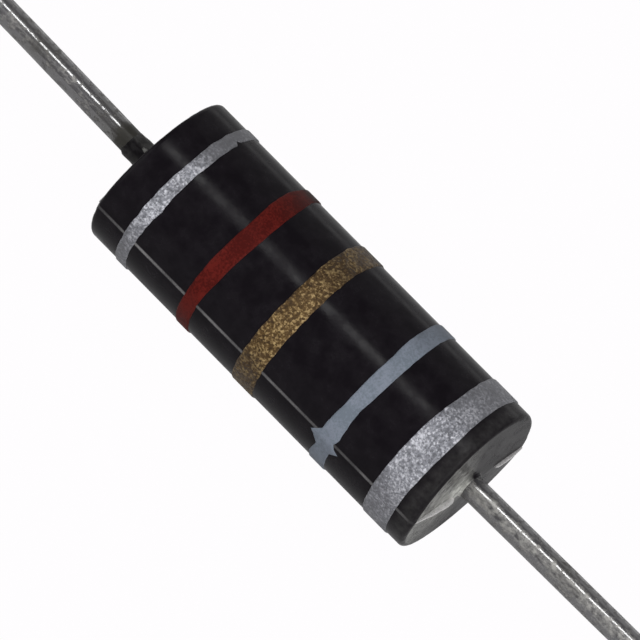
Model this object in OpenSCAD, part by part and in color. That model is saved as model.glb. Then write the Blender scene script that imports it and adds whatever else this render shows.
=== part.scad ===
// Moulded axial inductor with colour bands, in millimetres.
// The leads run along X through the origin, which is the middle of the body.
// The mould halves met in the plane z = 0, and the wide silver band is at the right (+X) end.

/* [Moulded body] */
// Diameter of the body
body_d = 3.9; // [3.5:0.05:5]
// Length of the body at its parting plane
body_l = 9.74; // [8.6:0.02:13]
// Slope of the end faces back from the parting plane, in degrees
end_draft = 2.5; // [1:0.1:4]
// Rounding of the two rims
rim_r = 0.11; // [0.06:0.01:0.25]

/* [Mould flash] */
// Thickness of the flash left where the mould halves met
flash_t = 0.05; // [0.03:0.005:0.1]
// Height of the flash ridge along the two sides
side_flash_h = 0.012; // [0.006:0.001:0.018]
// Height of the torn flash fins on the end faces
end_flash_h = 0.1; // [0.04:0.01:0.15]
// Gap between the lead and the fin on the front (-Y) side
front_fin_gap = 0.32; // [0.2:0.01:0.8]
// Gap between the lead and the fin on the rear (+Y) side
rear_fin_gap = 0.68; // [0.2:0.01:0.8]
// Distance from the fins' outer ends to the side of the body
fin_rim_gap = 0.2; // [0.15:0.01:0.4]

/* [Lead exits] */
// Length of the resin that crept out along the left lead
left_collar_l = 0.72; // [0.2:0.01:0.9]
// Length of the resin that crept out along the right lead
right_collar_l = 0.06; // [0.04:0.01:0.4]
// Resin on the lead at the foot of a collar
collar_foot_t = 0.06; // [0.05:0.01:0.2]
// Resin on the lead at the tip of a collar
collar_tip_t = 0.02; // [0.01:0.005:0.04]

/* [Leads] */
// Diameter of the tinned lead wire
lead_d = 0.58; // [0.5:0.01:0.8]
// Length of each lead outside the body
lead_l = 28; // [15:0.5:40]
// Chamfer of the cut tip
lead_tip_c = 0.05; // [0.02:0.01:0.1]
// Length of the flattened stretch that anchors the lead in the resin
anchor_l = 0.75; // [0.6:0.05:0.9]
// Thickness of the flattened stretch
anchor_t = 0.36; // [0.3:0.01:0.45]
// Depth to which the lead is glued into the core
lead_seat = 1; // [0.6:0.05:1.5]

/* [Core] */
// Resin between each end of the core and the end of the body
core_end_wall = 1.5; // [1.3:0.05:2]
// Resin between the core's flanges and the side of the body
core_side_wall = 0.65; // [0.5:0.05:0.8]
// Thickness of each flange
flange_t = 0.55; // [0.4:0.05:0.8]
// Height of the flanges above the wire
flange_lip = 0.14; // [0.1:0.01:0.2]
// Radial glue gap round a lead in the core
lead_glue_gap = 0.01; // [0.005:0.005:0.03]

/* [Winding] */
// Diameter of the enamelled wire
wire_d = 0.2; // [0.15:0.01:0.25]
// Gap between neighbouring turns
turn_gap = 0.02; // [0.01:0.005:0.1]
// Room round the wire
wire_clearance = 0.02; // [0.015:0.005:0.03]
// Room on each side of the wire in the slot of a flange
slot_clearance = 0.05; // [0.04:0.01:0.1]
// Distance from the core's end to the tail's run down to the lead
tail_standoff = 0.25; // [0.22:0.01:0.35]
// Solder on the lead at the core's end
solder_t = 0.33; // [0.28:0.01:0.45]
// Solder between the tail's end and the lead
tail_end_gap = 0.08; // [0.05:0.01:0.12]

/* [Colour bands] */
// Thickness of the paint
paint_t = 0.025; // [0.02:0.005:0.05]
// Distance of the wide silver band from the right end
wide_silver_margin = 0.45; // [0.3:0.01:0.6]
// Width of the wide silver band
wide_silver_w = 0.77; // [0.6:0.01:0.9]
// Middle of the grey band, from the middle of the body
grey_x = 2.31; // [2.2:0.01:2.4]
// Width of the grey band
grey_w = 0.47; // [0.3:0.01:0.6]
// Middle of the gold band, from the middle of the body
gold_x = -0.04; // [-0.3:0.01:0.3]
// Width of the gold band
gold_w = 0.61; // [0.4:0.01:0.8]
// Middle of the red band, from the middle of the body
red_x = -1.92; // [-2.2:0.01:-1.7]
// Width of the red band
red_w = 0.47; // [0.3:0.01:0.6]
// Distance of the narrow silver band from the left end
narrow_silver_margin = 0.8; // [0.4:0.01:0.9]
// Width of the narrow silver band
narrow_silver_w = 0.4; // [0.3:0.01:0.5]

/* [Hidden] */
$fn = 96;
over = 0.1;
right = 1;
left = -1;
upper = 1;
lower = -1;

body_r = body_d / 2;
body_end = body_l / 2;
// The rounding runs this far past the side, so that it meets it all round a sloping face
rim_runout = 2 * rim_r * tan(end_draft);

lead_r = lead_d / 2;
lead_tip = body_end + lead_l;
anchor_w = PI * lead_r ^ 2 / anchor_t;
anchor_x = body_end - anchor_l;

core_end = body_end - core_end_wall;
window_end = core_end - flange_t;
flange_r = body_r - core_side_wall;
waist_r = flange_r - flange_lip - wire_d;
lead_hole_depth = lead_seat + lead_glue_gap;

// The chords between the winding's points stay clear of the core's waist
turn_steps = 18;
wire_sides = 6;
bend_steps = 4;
wire_r = wire_d / 2;
channel_r = wire_r + wire_clearance;
helix_r = (waist_r + channel_r) / cos(180 / turn_steps);
sleeve_r = helix_r + channel_r;
pitch = wire_d + turn_gap;
turns = floor(2 * (window_end - wire_d) / pitch);
helix_l = turns * pitch;
tail_x = core_end + tail_standoff;
tail_a = turns * 180 + channel_r / helix_r * 180 / PI;
solder_r = lead_r + solder_t;
tail_end_r = lead_r + tail_end_gap;
slot_w = wire_d + 2 * slot_clearance;
slot_floor_r = waist_r + wire_clearance / 2;

// Each stop on the wire's path is [x, radius, angle about X, lean of the wire's section]
helix_steps = turns * turn_steps;
helix_path = [
    for (i = [0 : helix_steps])
        [(i / helix_steps - 0.5) * helix_l, helix_r, (i / turn_steps - turns / 2) * 360, 0]
];
bend_angles = [for (k = [1 : bend_steps]) 90 * k / bend_steps];
tail_path = concat(
    [for (b = bend_angles)
        [helix_l / 2 + channel_r * (1 - cos(b)), helix_r, turns * 180 + (tail_a - turns * 180) * sin(b), 0]],
    [[tail_x - channel_r, helix_r, tail_a, 0]],
    [for (b = bend_angles)
        [tail_x - channel_r * (1 - sin(b)), helix_r - channel_r * (1 - cos(b)), tail_a, b]],
    [[tail_x, tail_end_r, tail_a, 90]]
);
tail_stops = len(tail_path);
left_tail_path = [
    for (i = [tail_stops - 1 : -1 : 0])
        [-tail_path[i][0], tail_path[i][1], -tail_path[i][2], -tail_path[i][3]]
];
wire_path = concat(left_tail_path, helix_path, tail_path);
last_stop = len(wire_path) - 1;

// Shapes along X

module rod(d, x0, x1) {
    translate([x0, 0, 0]) rotate([0, 90, 0]) cylinder(d = d, h = x1 - x0);
}

// Turns a profile of [radius, x] about X
module turned() {
    rotate([0, 90, 0]) rotate_extrude() children();
}

module at_end(end) {
    if (end == right) children();
    else mirror([1, 0, 0]) children();
}

// The tails leave the winding at opposite angles, so that either end is the other turned over
module at_tail(end) {
    at_end(end) rotate([end * tail_a, 0, 0]) children();
}

// Moulded body

// All that lies behind an end face and its rounded rim, as a profile about the face's own normal
module end_profile() {
    difference() {
        translate([0, -2 * body_l]) square([2 * body_d, 2 * body_l]);
        translate([body_r - rim_r + rim_runout, -rim_r])
            difference() {
                square([2 * body_d, rim_r + over]);
                circle(rim_r);
            }
    }
}

// One mould half's face of an end, which slopes back from the parting plane
module end_form(half) {
    translate([body_end, 0, 0]) rotate([0, -half * end_draft, 0]) turned() end_profile();
}

module body_form() {
    intersection() {
        rod(body_d, -body_l, body_l);
        at_end(left) end_form(upper);
        at_end(left) end_form(lower);
        at_end(right) end_form(upper);
        at_end(right) end_form(lower);
    }
}

module side_flash() {
    cube([body_l - 2 * rim_r, body_d + 2 * side_flash_h, flash_t], center = true);
}

// A fin that is torn off lower towards the rim
module end_fin(lead_gap) {
    inner = lead_r + lead_gap;
    outer = body_r - fin_rim_gap;
    crest = (inner + outer) / 2;
    translate([body_end, 0, -flash_t / 2])
        linear_extrude(flash_t)
            polygon([
                [-over, inner],
                [end_flash_h, inner],
                [end_flash_h, crest],
                [end_flash_h / 2, outer],
                [-over, outer]
            ]);
}

module end_flash() {
    for (end = [left, right])
        at_end(end) {
            end_fin(rear_fin_gap);
            mirror([0, 1, 0]) end_fin(front_fin_gap);
        }
}

// Resin on a lead, which flares where it comes off the sloping end face
module collar(length) {
    turned()
        polygon([
            [0, body_end - over],
            [lead_r + collar_foot_t + over, body_end - over],
            [lead_r + collar_foot_t, body_end],
            [lead_r + (collar_foot_t + 2 * collar_tip_t) / 3, body_end + length / 3],
            [lead_r + collar_tip_t, body_end + length],
            [0, body_end + length]
        ]);
}

module moulded_body() {
    color("#1b191c")
        difference() {
            union() {
                body_form();
                side_flash();
                end_flash();
                at_end(left) collar(left_collar_l);
                at_end(right) collar(right_collar_l);
            }
            turned() bobbin_profile();
            rod(2 * sleeve_r, -window_end, window_end);
            for (end = [left, right]) {
                at_end(end) lead_form();
                at_end(end) solder_form();
                at_tail(end) tail_slot(core_end - over, sleeve_r);
                at_tail(end) tail_socket();
            }
        }
}

// Core

module bobbin_profile() {
    polygon([
        [0, -core_end],
        [flange_r, -core_end],
        [flange_r, -window_end],
        [waist_r, -window_end],
        [waist_r, window_end],
        [flange_r, window_end],
        [flange_r, core_end],
        [0, core_end]
    ]);
}

// The way of a tail past the flange, out to its run down to the lead
module tail_slot(x0, top_r) {
    translate([x0, slot_floor_r, -slot_w / 2])
        cube([tail_x + slot_w / 2 - x0, top_r - slot_floor_r, slot_w]);
}

module core() {
    color("#5a5654")
        difference() {
            turned() bobbin_profile();
            for (end = [left, right]) {
                at_tail(end) tail_slot(window_end - over, flange_r + over);
                at_end(end) rod(lead_d + 2 * lead_glue_gap, core_end - lead_hole_depth, core_end + over);
            }
        }
}

// Winding

function unit(v) = v / norm(v);
function stop_point(s) = [s[0], s[1] * cos(s[2]), s[1] * sin(s[2])];
function stop_outward(s) = [sin(s[3]), cos(s[3]) * cos(s[2]), cos(s[3]) * sin(s[2])];
function stop_tangent(i) =
    unit(stop_point(wire_path[min(i + 1, last_stop)]) - stop_point(wire_path[max(i - 1, 0)]));

// The corners of the wire's section at one stop, square to its path
function wire_ring(i) =
    let (
        centre = stop_point(wire_path[i]),
        along = stop_tangent(i),
        lean = stop_outward(wire_path[i]),
        out = unit(lean - (lean * along) * along),
        side = cross(along, out)
    )
    [for (k = [0 : wire_sides - 1])
        centre + wire_r * (cos(360 * k / wire_sides) * out + sin(360 * k / wire_sides) * side)];

module winding() {
    corners = [for (i = [0 : last_stop]) each wire_ring(i)];
    sides = [
        for (i = [0 : last_stop - 1], k = [0 : wire_sides - 1])
            let (
                next = (k + 1) % wire_sides,
                a = i * wire_sides + k,
                b = i * wire_sides + next,
                c = a + wire_sides,
                d = b + wire_sides
            )
            each [[a, c, d], [a, d, b]]
    ];
    first_cap = [for (k = [0 : wire_sides - 1]) k];
    last_cap = [for (k = [wire_sides - 1 : -1 : 0]) last_stop * wire_sides + k];
    color("#a8552e")
        polyhedron(corners, concat(sides, [first_cap, last_cap]));
}

// Leads

module lead_form() {
    rod(lead_d, body_end, lead_tip - lead_tip_c);
    translate([lead_tip - lead_tip_c, 0, 0]) rotate([0, 90, 0])
        cylinder(r1 = lead_r, r2 = lead_r - lead_tip_c, h = lead_tip_c);
    translate([anchor_x, -anchor_w / 2, -anchor_t / 2]) cube([anchor_l, anchor_w, anchor_t]);
    rod(lead_d, core_end - lead_seat, anchor_x);
}

module left_lead() {
    color("#8f8d8c") at_end(left) lead_form();
}

module right_lead() {
    color("#8f8d8c") at_end(right) lead_form();
}

// Solder joints

module solder_form() {
    translate([core_end, 0, 0])
        turned()
            intersection() {
                circle(solder_r);
                square(solder_r);
            }
}

module tail_socket() {
    translate([tail_x, tail_end_r - wire_clearance, 0]) rotate([-90, 0, 0])
        cylinder(r = channel_r, h = helix_r - tail_end_r + wire_clearance);
}

module solder_joint(end) {
    color("#a9abac")
        difference() {
            at_end(end) solder_form();
            at_end(end) lead_form();
            at_tail(end) tail_socket();
        }
}

module left_solder_joint() {
    solder_joint(left);
}

module right_solder_joint() {
    solder_joint(right);
}

// Colour bands, painted over the flash ridge

module paint_band(x0, width) {
    difference() {
        rod(body_d + 2 * paint_t, x0, x0 + width);
        rod(body_d, x0 - over, x0 + width + over);
        side_flash();
    }
}

module wide_silver_band() {
    color("#a3a3a6") paint_band(body_end - wide_silver_margin - wide_silver_w, wide_silver_w);
}

module grey_band() {
    color("#7d8791") paint_band(grey_x - grey_w / 2, grey_w);
}

module gold_band() {
    color("#8f744a") paint_band(gold_x - gold_w / 2, gold_w);
}

module red_band() {
    color("#6a1d1a") paint_band(red_x - red_w / 2, red_w);
}

module narrow_silver_band() {
    color("#a3a3a6") paint_band(narrow_silver_margin - body_end, narrow_silver_w);
}

moulded_body();
core();
winding();
left_lead();
right_lead();
left_solder_joint();
right_solder_joint();
wide_silver_band();
grey_band();
gold_band();
red_band();
narrow_silver_band();
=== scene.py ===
"""Looks of a moulded axial inductor with painted colour bands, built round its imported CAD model.

All shapes are made in millimetres in the CAD frame and scaled to metres at the end: the leads run
along X, the mould halves met in the plane z = 0, and the wide silver band is at the +X end. Angles
about X start at +Y and turn towards +Z, so the front parting line is at 180 degrees.
"""

import logging
import math
from dataclasses import dataclass
from enum import Enum
from typing import Any, Mapping, Sequence

import bmesh
import bpy
from mathutils import Matrix, Vector, noise


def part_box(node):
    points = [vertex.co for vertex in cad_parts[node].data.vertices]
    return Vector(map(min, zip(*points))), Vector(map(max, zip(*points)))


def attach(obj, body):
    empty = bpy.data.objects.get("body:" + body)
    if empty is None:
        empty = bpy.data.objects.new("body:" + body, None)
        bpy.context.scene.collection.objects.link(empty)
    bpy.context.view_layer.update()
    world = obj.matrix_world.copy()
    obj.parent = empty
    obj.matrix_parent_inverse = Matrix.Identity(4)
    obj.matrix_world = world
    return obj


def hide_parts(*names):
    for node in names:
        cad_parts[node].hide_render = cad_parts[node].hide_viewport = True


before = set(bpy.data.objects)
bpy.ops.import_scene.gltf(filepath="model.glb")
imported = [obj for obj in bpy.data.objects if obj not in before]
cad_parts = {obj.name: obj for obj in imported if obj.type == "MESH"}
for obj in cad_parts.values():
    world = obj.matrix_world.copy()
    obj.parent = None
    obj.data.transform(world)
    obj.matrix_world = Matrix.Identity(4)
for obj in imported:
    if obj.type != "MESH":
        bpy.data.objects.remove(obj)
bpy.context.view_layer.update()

log = logging.getLogger("axial_inductor")

MM = 0.001
MERGE_MM = 1e-5
NEAR_MM = MERGE_MM * 10
LEAST = 1e-6
BODY = "root"

# Sizes in millimetres that several pieces share
BODY_R = 1.95
BODY_END_X = 4.87
LEAD_R = 0.29

# Steps round the body and the bands, and the flash ridge's half width in such steps
AROUND = 480
RIDGE_STEPS = 1.5

# An area lamp's energy is its radiance times its area times this
LAMP_FACTOR = 4

Outline = Sequence[tuple[float, float]]
Marks = Sequence[tuple[float, float]]


class End(Enum):
    """The two ends of the part, by the sign of X."""

    LEFT = -1
    RIGHT = 1


def linear(hex_colour: str) -> tuple[float, float, float, float]:
    """Turns an sRGB hex colour into a linear RGBA colour.

    Args:
        hex_colour: The colour, as "#rrggbb".

    Returns:
        The linear colour, with an alpha of 1.
    """
    channels = [int(hex_colour[i : i + 2], 16) / 255 for i in (1, 3, 5)]
    red, green, blue = (c / 12.92 if c <= 0.04045 else ((c + 0.055) / 1.055) ** 2.4 for c in channels)
    return red, green, blue, 1.0


def per_mm(size_mm: float) -> float:
    """Gives the texture scale at which a pattern repeats about every size_mm millimetres."""
    return 1 / (size_mm * MM)


def between(marks: Marks, place: float) -> float:
    """Reads a value between marks by straight lines, and keeps the end values outside them.

    Args:
        marks: Pairs of place and value, in rising order of place.
        place: Where to read.

    Returns:
        The value at that place.
    """
    if place <= marks[0][0]:
        return marks[0][1]
    for (x0, y0), (x1, y1) in zip(marks, marks[1:]):
        if place <= x1:
            return y0 + (y1 - y0) * (place - x0) / (x1 - x0)
    return marks[-1][1]


def angle_about_x(co: Vector) -> float:
    """Gives a point's angle about X in degrees, from 0 to 360."""
    return math.degrees(math.atan2(co.z, co.y)) % 360


def radius_about_x(co: Vector) -> float:
    """Gives a point's distance from the X axis."""
    return math.hypot(co.y, co.z)


def set_radius(co: Vector, radius: float) -> None:
    """Moves a point square to the X axis.

    Args:
        co: The point, which is changed.
        radius: Its new distance from the axis.
    """
    share = radius / radius_about_x(co)
    co.y *= share
    co.z *= share


def ring_noise(x: float, angle: float, size: float, seed: float) -> float:
    """Gives a smooth random value on a turned surface, which closes on itself round X.

    Args:
        x: Place along X.
        angle: Angle about X in degrees.
        size: Size of the bumps along X and round it, as if the surface had a radius of 1.
        seed: Tells one field of bumps from another.

    Returns:
        A value from about -1 to 1.
    """
    turn = math.radians(angle)
    return noise.noise(
        Vector((x / size + seed, math.cos(turn) / size + seed, math.sin(turn) / size - seed))
    )


def turned(outline: Outline, steps: int, closed: bool) -> bmesh.types.BMesh:
    """Turns an outline once round the X axis.

    Args:
        outline: Points of x and radius.
        steps: Number of steps round the axis.
        closed: Whether the last point joins the first one.

    Returns:
        The turned mesh, with its doubles merged and its faces pointing outwards.
    """
    bm = bmesh.new()
    verts = [bm.verts.new((x, radius, 0.0)) for x, radius in outline]
    edges = [bm.edges.new(pair) for pair in zip(verts, verts[1:])]
    if closed:
        edges.append(bm.edges.new((verts[-1], verts[0])))
    bmesh.ops.spin(
        bm,
        geom=verts + edges,
        cent=(0, 0, 0),
        axis=(1, 0, 0),
        angle=2 * math.pi,
        steps=steps,
        use_merge=True,
    )
    bmesh.ops.remove_doubles(bm, verts=bm.verts, dist=MERGE_MM)
    bmesh.ops.recalc_face_normals(bm, faces=bm.faces)
    return bm


def piece(bm: bmesh.types.BMesh, name: str, sharp_angle: float) -> bpy.types.Object:
    """Makes a smooth-shaded object from a mesh in millimetres.

    Args:
        bm: The mesh, which is freed.
        name: Name of the piece.
        sharp_angle: Edges that bend more than this many degrees stay sharp.

    Returns:
        The object, at the origin, in metres.
    """
    bmesh.ops.recalc_face_normals(bm, faces=bm.faces)
    bmesh.ops.scale(bm, vec=(MM, MM, MM), verts=bm.verts)
    mesh = bpy.data.meshes.new(name)
    bm.to_mesh(mesh)
    bm.free()
    mesh.polygons.foreach_set("use_smooth", [True] * len(mesh.polygons))
    mesh.set_sharp_from_angle(angle=math.radians(sharp_angle))
    obj = bpy.data.objects.new(name, mesh)
    bpy.context.scene.collection.objects.link(obj)
    return obj


def connect(
    tree: bpy.types.NodeTree,
    node: bpy.types.Node,
    values: Mapping[Any, Any],
    links: Mapping[Any, bpy.types.NodeSocket],
) -> None:
    """Sets a node's input values and links other nodes into it.

    Args:
        tree: The node tree.
        node: The node.
        values: Input values by socket name or number.
        links: Output sockets of other nodes, by the input that each goes to.
    """
    for key, value in values.items():
        node.inputs[key].default_value = value
    for key, socket in links.items():
        tree.links.new(socket, node.inputs[key])


def add_node(
    tree: bpy.types.NodeTree,
    kind: str,
    values: Mapping[Any, Any] | None = None,
    links: Mapping[Any, bpy.types.NodeSocket] | None = None,
    **settings: Any,
) -> bpy.types.Node:
    """Adds a node with its settings, its input values and the links into it.

    Args:
        tree: The node tree.
        kind: Blender's name for the kind of node.
        values: Input values by socket name or number.
        links: Output sockets of other nodes, by the input that each goes to.
        **settings: Properties of the node itself.

    Returns:
        The new node.
    """
    node = tree.nodes.new(kind)
    for name, value in settings.items():
        setattr(node, name, value)
    connect(tree, node, values or {}, links or {})
    return node


@dataclass(frozen=True)
class Finish:
    """A finish of the part, named after the real material and its slot."""

    name: str
    slot: str

    def start(self) -> tuple[bpy.types.Material, bpy.types.NodeTree, bpy.types.Node, bpy.types.NodeSocket]:
        """Starts the finish's material.

        Returns:
            The material, its node tree, its shader and the object coordinates.
        """
        material = bpy.data.materials.new(self.name)
        material.use_nodes = True
        tree = material.node_tree
        tree.nodes.clear()
        shader = add_node(tree, "ShaderNodeBsdfPrincipled")
        add_node(tree, "ShaderNodeOutputMaterial", links={"Surface": shader.outputs["BSDF"]})
        place = add_node(tree, "ShaderNodeTexCoord").outputs["Object"]
        return material, tree, shader, place

    def make(self) -> bpy.types.Material:
        """Makes the material."""
        raise NotImplementedError


@dataclass(frozen=True)
class MouldedEpoxy(Finish):
    """Filled epoxy, transfer-moulded: black satin skin, dull haze, pale torn fins, residue, painted light.
    """

    # To the eye it is near-black satin, with a narrow soft streak of the lamp along the side, a faint pale
    # tint round the right end's rim, pale residue by the right lead and white torn fins. Light is also
    # painted in the pale colours: a reflection across the lower front of the right end face, a sheen on
    # both sides of the collars, a glint on the left collar and a highlight along the parting ridge. The
    # filler's real grain is too fine to show, so grain_mm draws it about twice as coarse.
    name: str = "moulded_epoxy"
    slot: str = "moulded_epoxy"
    resin: str = "#161317"
    haze: str = "#1c191d"
    # Pale residue colour, also used for the painted reflection, sheen and glint; then the pale colour of
    # the torn fins, also used for the painted highlight along the parting ridge
    film_and_sheen: str = "#dadad4"
    flash: str = "#efeded"
    dust: str = "#c9c7c2"
    haze_mm: float = 0.36
    film_and_sheen_mm: float = 0.16
    grain_mm: float = 0.035
    dust_mm: float = 0.75

    def make(self) -> bpy.types.Material:
        """Makes the resin: haze, specks, grain, residue, torn fins, and painted sheen and highlights."""
        material, tree, shader, place = self.start()
        haze = add_node(
            tree,
            "ShaderNodeTexNoise",
            {"Scale": per_mm(self.haze_mm), "Detail": 5.0, "Roughness": 0.6},
            {"Vector": place},
        ).outputs["Fac"]
        clear_haze = add_node(
            tree, "ShaderNodeMapRange", {"From Min": 0.4, "From Max": 0.62}, {"Value": haze}
        ).outputs["Result"]
        skin = add_node(
            tree,
            "ShaderNodeMix",
            {6: linear(self.resin), 7: linear(self.haze)},
            {0: clear_haze},
            data_type="RGBA",
        ).outputs[2]
        # Pale residue by the right lead, plus painted light in the same colour: a reflection on the right
        # end face, a sheen on the collars and a glint on the left collar
        film_and_sheen = add_node(tree, "ShaderNodeAttribute", attribute_name="film_and_sheen").outputs["Fac"]
        blotch = add_node(
            tree,
            "ShaderNodeTexNoise",
            {"Scale": per_mm(self.film_and_sheen_mm), "Detail": 4.0, "Roughness": 0.6},
            {"Vector": place},
        ).outputs["Fac"]
        patchy = add_node(
            tree,
            "ShaderNodeMapRange",
            {"From Min": 0.32, "From Max": 0.68, "To Min": 0.35, "To Max": 1.3},
            {"Value": blotch},
        ).outputs["Result"]
        film_and_sheen_share = add_node(
            tree, "ShaderNodeMath", links={0: film_and_sheen, 1: patchy}, operation="MULTIPLY", use_clamp=True
        ).outputs[0]
        with_film_and_sheen = add_node(
            tree, "ShaderNodeMix", {7: linear(self.film_and_sheen)}, {0: film_and_sheen_share, 6: skin}, data_type="RGBA"
        ).outputs[2]
        # Pale torn fins, plus a painted highlight of the side light along the parting ridge in the same
        # colour
        flash = add_node(tree, "ShaderNodeAttribute", attribute_name="flash").outputs["Fac"]
        grain = add_node(
            tree, "ShaderNodeTexNoise", {"Scale": per_mm(self.grain_mm), "Detail": 3.0}, {"Vector": place}
        ).outputs["Fac"]
        ragged = add_node(
            tree,
            "ShaderNodeMapRange",
            {"From Min": 0.38, "From Max": 0.6, "To Min": 0.7},
            {"Value": grain},
        ).outputs["Result"]
        # Where the torn fins and the painted ridge highlight are pale
        torn = add_node(
            tree, "ShaderNodeMath", links={0: flash, 1: ragged}, operation="MULTIPLY"
        ).outputs[0]
        bare = add_node(
            tree, "ShaderNodeMix", {7: linear(self.flash)}, {0: torn, 6: with_film_and_sheen}, data_type="RGBA"
        ).outputs[2]
        cells = add_node(
            tree,
            "ShaderNodeTexVoronoi",
            {"Scale": per_mm(self.dust_mm), "Randomness": 1.0},
            {"Vector": place},
        )
        near = add_node(
            tree,
            "ShaderNodeMapRange",
            {"From Min": 0.045, "From Max": 0.02},
            {"Value": cells.outputs["Distance"]},
        ).outputs["Result"]
        chosen = add_node(
            tree, "ShaderNodeSeparateColor", links={"Color": cells.outputs["Color"]}
        ).outputs["Red"]
        few = add_node(tree, "ShaderNodeMath", {1: 0.9}, {0: chosen}, operation="GREATER_THAN").outputs[0]
        speck = add_node(tree, "ShaderNodeMath", links={0: near, 1: few}, operation="MULTIPLY").outputs[0]
        colour = add_node(
            tree, "ShaderNodeMix", {7: linear(self.dust)}, {0: speck, 6: bare}, data_type="RGBA"
        ).outputs[2]
        gloss = add_node(
            tree,
            "ShaderNodeMapRange",
            {"From Min": 0.38, "From Max": 0.62, "To Min": 0.14, "To Max": 0.28},
            {"Value": haze},
        ).outputs["Result"]
        bump = add_node(
            tree, "ShaderNodeBump", {"Strength": 0.5, "Distance": 0.002 * MM}, {"Height": grain}
        )
        looks = {"Base Color": colour, "Roughness": gloss, "Normal": bump.outputs["Normal"]}
        connect(tree, shader, {"Specular IOR Level": 0.06}, looks)
        return material


@dataclass(frozen=True)
class TinnedCopper(Finish):
    """Hot-dipped tin on copper wire: dull grey, pale smudges with a painted reflection, brownish stain."""

    # To the eye it is dull grey wire, with a thin white line of the lamp that breaks into dashes where the
    # tin is worn, chalky smudges beside it, and a dark stain near the left collar. The smudges are partly
    # residue and partly a painted reflection of the lamps, on the side of the wire that faces them. The
    # real grain of the tin is too fine to show, so grain_mm draws it coarser.
    name: str = "tinned_copper"
    slot: str = "tinned_copper"
    tin: str = "#555356"
    # Colour of the pale smudges, partly residue and partly a painted reflection
    smudge_and_reflection: str = "#c0beba"
    stain: str = "#2f2c25"
    smudge_and_reflection_mm: float = 0.1
    wear_mm: float = 0.1
    stain_mm: float = 0.9
    grain_mm: float = 0.03

    def make(self) -> bpy.types.Material:
        """Makes the tin: smudges and painted reflection drawn along the wire, stains, and a broken gloss.
        """
        material, tree, shader, place = self.start()
        drawn = add_node(
            tree, "ShaderNodeMapping", {"Scale": (0.6, 1.0, 1.0)}, {"Vector": place}
        ).outputs["Vector"]
        smudge_and_reflection = add_node(
            tree,
            "ShaderNodeTexNoise",
            {"Scale": per_mm(self.smudge_and_reflection_mm), "Detail": 6.0, "Roughness": 0.65},
            {"Vector": drawn},
        ).outputs["Fac"]
        # Share of the smudges and the painted reflection, laid on by angle towards the lamps
        smudge_and_reflection_share = add_node(tree, "ShaderNodeAttribute", attribute_name="smudge_and_reflection").outputs["Fac"]
        spread = add_node(
            tree, "ShaderNodeMath", {1: 0.25}, {0: smudge_and_reflection_share, 2: smudge_and_reflection}, operation="MULTIPLY_ADD"
        ).outputs[0]
        pale = add_node(
            tree, "ShaderNodeMapRange", {"From Min": 0.53, "From Max": 0.79}, {"Value": spread}
        ).outputs["Result"]
        metal = add_node(
            tree,
            "ShaderNodeMix",
            {6: linear(self.tin), 7: linear(self.smudge_and_reflection)},
            {0: pale},
            data_type="RGBA",
        ).outputs[2]
        stain = add_node(
            tree, "ShaderNodeTexNoise", {"Scale": per_mm(self.stain_mm), "Detail": 3.0}, {"Vector": place}
        ).outputs["Fac"]
        soiled = add_node(tree, "ShaderNodeAttribute", attribute_name="stain").outputs["Fac"]
        deepened = add_node(
            tree, "ShaderNodeMath", {1: 0.35}, {0: soiled, 2: stain}, operation="MULTIPLY_ADD"
        ).outputs[0]
        brown = add_node(
            tree,
            "ShaderNodeMapRange",
            {"From Min": 0.5, "From Max": 0.8, "To Max": 0.97},
            {"Value": deepened},
        ).outputs["Result"]
        colour = add_node(
            tree, "ShaderNodeMix", {7: linear(self.stain)}, {0: brown, 6: metal}, data_type="RGBA"
        ).outputs[2]
        wear = add_node(
            tree, "ShaderNodeTexNoise", {"Scale": per_mm(self.wear_mm), "Detail": 2.0}, {"Vector": drawn}
        ).outputs["Fac"]
        gloss = add_node(
            tree,
            "ShaderNodeMapRange",
            {"From Min": 0.52, "From Max": 0.58, "To Min": 1.0, "To Max": 0.05},
            {"Value": wear},
        ).outputs["Result"]
        bare = add_node(
            tree, "ShaderNodeMath", {1: -0.6, 2: 0.6}, {0: brown}, operation="MULTIPLY_ADD"
        ).outputs[0]
        clean = add_node(
            tree,
            "ShaderNodeMapRange",
            {"From Min": 0.6, "From Max": 0.95, "To Min": 1.0, "To Max": 0.0},
            {"Value": brown},
        ).outputs["Result"]
        skin = add_node(
            tree, "ShaderNodeMath", links={0: gloss, 1: clean}, operation="MULTIPLY"
        ).outputs[0]
        grain = add_node(
            tree, "ShaderNodeTexNoise", {"Scale": per_mm(self.grain_mm), "Detail": 2.0}, {"Vector": drawn}
        ).outputs["Fac"]
        bump = add_node(
            tree, "ShaderNodeBump", {"Strength": 0.04, "Distance": 0.002 * MM}, {"Height": grain}
        )
        looks = {
            "Base Color": colour,
            "Metallic": bare,
            "Coat Weight": skin,
            "Coat Normal": bump.outputs["Normal"],
        }
        connect(tree, shader, {"Roughness": 0.45, "Coat Roughness": 0.18, "Coat IOR": 2.4}, looks)
        return material


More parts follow.
